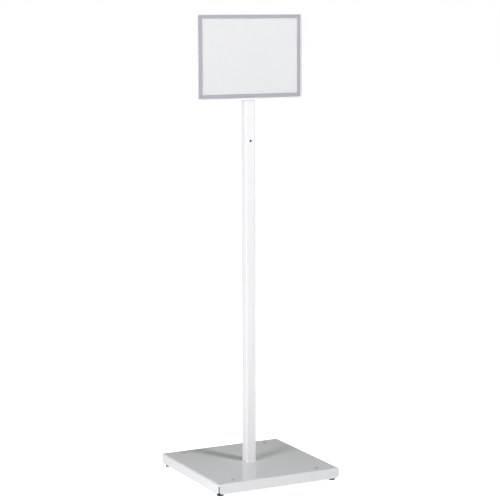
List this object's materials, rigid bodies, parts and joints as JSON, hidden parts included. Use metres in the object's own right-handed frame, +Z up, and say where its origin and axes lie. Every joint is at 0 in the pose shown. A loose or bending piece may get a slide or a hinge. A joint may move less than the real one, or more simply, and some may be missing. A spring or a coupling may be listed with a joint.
{
  "type": "sign stand",
  "caption": "Free-standing sign stand: landscape A4 magnetic frame on a white plate, square post with height clamp, and a weighted square tray base with levelling feet.",
  "frame": {"origin": "on the floor, on the post's axis, at the middle of the square base", "axes": "+Z up along the post; the sign faces -Y; +X is to the viewer's right when facing the sign"},
  "size_m": [0.38, 0.38, 1.3144],
  "materials": {
    "white_powder_coat": "glossy white powder coat",
    "mild_steel": "plain rolled steel",
    "zinc_plate": "bright zinc plate",
    "black_steel": "black oxide",
    "black_plastic": "matt black moulded plastic",
    "white_plastic": "white moulded plastic",
    "nylon": "natural nylon",
    "backing_film": "white film",
    "grey_strip": "satin blue-grey plastic",
    "paper": "plain white card",
    "clear_film": "clear polished film",
    "magnet_rubber": "matt magnetic rubber"
  },
  "bodies": {
    "stand": {"base_tray": "white_powder_coat", "ballast_plate": "mild_steel", "ballast_screw_front_left": "zinc_plate", "ballast_screw_front_right": "zinc_plate", "ballast_screw_back_left": "zinc_plate", "ballast_screw_back_right": "zinc_plate", "gusset_front_left": "white_powder_coat", "gusset_front_right": "white_powder_coat", "gusset_back_left": "white_powder_coat", "gusset_back_right": "white_powder_coat", "foot_nut_front_left": "zinc_plate", "foot_nut_front_right": "zinc_plate", "foot_nut_back_left": "zinc_plate", "foot_nut_back_right": "zinc_plate", "post_tube": "white_powder_coat", "post_foot_plug": "mild_steel", "post_bolt": "zinc_plate", "post_washer": "zinc_plate", "post_lock_washer": "zinc_plate", "mouth_bush": "white_plastic", "clamp_nut": "zinc_plate"},
    "head": {"spigot_tube": "white_powder_coat", "spigot_guide": "white_plastic", "spigot_cap": "white_plastic", "head_stud_lower": "mild_steel", "head_stud_upper": "mild_steel", "head_washer_lower": "zinc_plate", "head_washer_upper": "zinc_plate", "head_dome_nut_lower": "zinc_plate", "head_dome_nut_upper": "zinc_plate", "head_plate": "white_powder_coat", "backing_sheet": "backing_film", "hinge_band": "grey_strip", "insert_sheet": "paper"},
    "cover": {"cover_window": "clear_film", "frame_top": "grey_strip", "frame_bottom": "grey_strip", "frame_left": "grey_strip", "frame_right": "grey_strip", "magnet_top": "magnet_rubber", "magnet_bottom": "magnet_rubber", "magnet_left": "magnet_rubber", "magnet_right": "magnet_rubber"},
    "clamp_tip": {"clamp_tip": "nylon"},
    "clamp_screw": {"clamp_screw": "black_steel"},
    "foot_pad_front_left": {"foot_pad_front_left": "black_plastic"},
    "foot_stud_front_left": {"foot_stud_front_left": "zinc_plate"},
    "foot_pad_front_right": {"foot_pad_front_right": "black_plastic"},
    "foot_stud_front_right": {"foot_stud_front_right": "zinc_plate"},
    "foot_pad_back_left": {"foot_pad_back_left": "black_plastic"},
    "foot_stud_back_left": {"foot_stud_back_left": "zinc_plate"},
    "foot_pad_back_right": {"foot_pad_back_right": "black_plastic"},
    "foot_stud_back_right": {"foot_stud_back_right": "zinc_plate"}
  },
  "joints": [
    {"name": "head_height", "type": "slide", "parent": "stand", "child": "head", "axis": [0, 0, 1], "range_m": [0, 0.12]},
    {"name": "cover_hinge", "type": "hinge", "parent": "head", "child": "cover", "pos_m": [0, -0.015, 1.3026], "axis": [-1, 0, 0], "range_deg": [0, 120]},
    {"name": "clamp_travel", "type": "slide", "parent": "stand", "child": "clamp_tip", "axis": [0, -1, 0], "range_m": [0, 0.003]},
    {"name": "clamp_turn", "type": "hinge", "parent": "clamp_tip", "child": "clamp_screw", "pos_m": [0, -0.0116, 0.957], "axis": [0, -1, 0], "range_deg": [0, 1080]},
    {"name": "foot_travel_front_left", "type": "slide", "parent": "stand", "child": "foot_pad_front_left", "axis": [0, 0, -1], "range_m": [0, 0.01]},
    {"name": "foot_turn_front_left", "type": "hinge", "parent": "foot_pad_front_left", "child": "foot_stud_front_left", "pos_m": [-0.176, -0.17, 0.006], "axis": [0, 0, -1], "range_deg": [0, 2880]},
    {"name": "foot_travel_front_right", "type": "slide", "parent": "stand", "child": "foot_pad_front_right", "axis": [0, 0, -1], "range_m": [0, 0.01]},
    {"name": "foot_turn_front_right", "type": "hinge", "parent": "foot_pad_front_right", "child": "foot_stud_front_right", "pos_m": [0.176, -0.17, 0.006], "axis": [0, 0, -1], "range_deg": [0, 2880]},
    {"name": "foot_travel_back_left", "type": "slide", "parent": "stand", "child": "foot_pad_back_left", "axis": [0, 0, -1], "range_m": [0, 0.01]},
    {"name": "foot_turn_back_left", "type": "hinge", "parent": "foot_pad_back_left", "child": "foot_stud_back_left", "pos_m": [-0.176, 0.17, 0.006], "axis": [0, 0, -1], "range_deg": [0, 2880]},
    {"name": "foot_travel_back_right", "type": "slide", "parent": "stand", "child": "foot_pad_back_right", "axis": [0, 0, -1], "range_m": [0, 0.01]},
    {"name": "foot_turn_back_right", "type": "hinge", "parent": "foot_pad_back_right", "child": "foot_stud_back_right", "pos_m": [0.176, 0.17, 0.006], "axis": [0, 0, -1], "range_deg": [0, 2880]}
  ],
  "couplings": [
    {"joint": "clamp_turn", "follows": "clamp_travel", "rad_per_m": 6283.2},
    {"joint": "foot_turn_front_left", "follows": "foot_travel_front_left", "rad_per_m": 5026.5},
    {"joint": "foot_turn_front_right", "follows": "foot_travel_front_right", "rad_per_m": 5026.5},
    {"joint": "foot_turn_back_left", "follows": "foot_travel_back_left", "rad_per_m": 5026.5},
    {"joint": "foot_turn_back_right", "follows": "foot_travel_back_right", "rad_per_m": 5026.5}
  ]
}
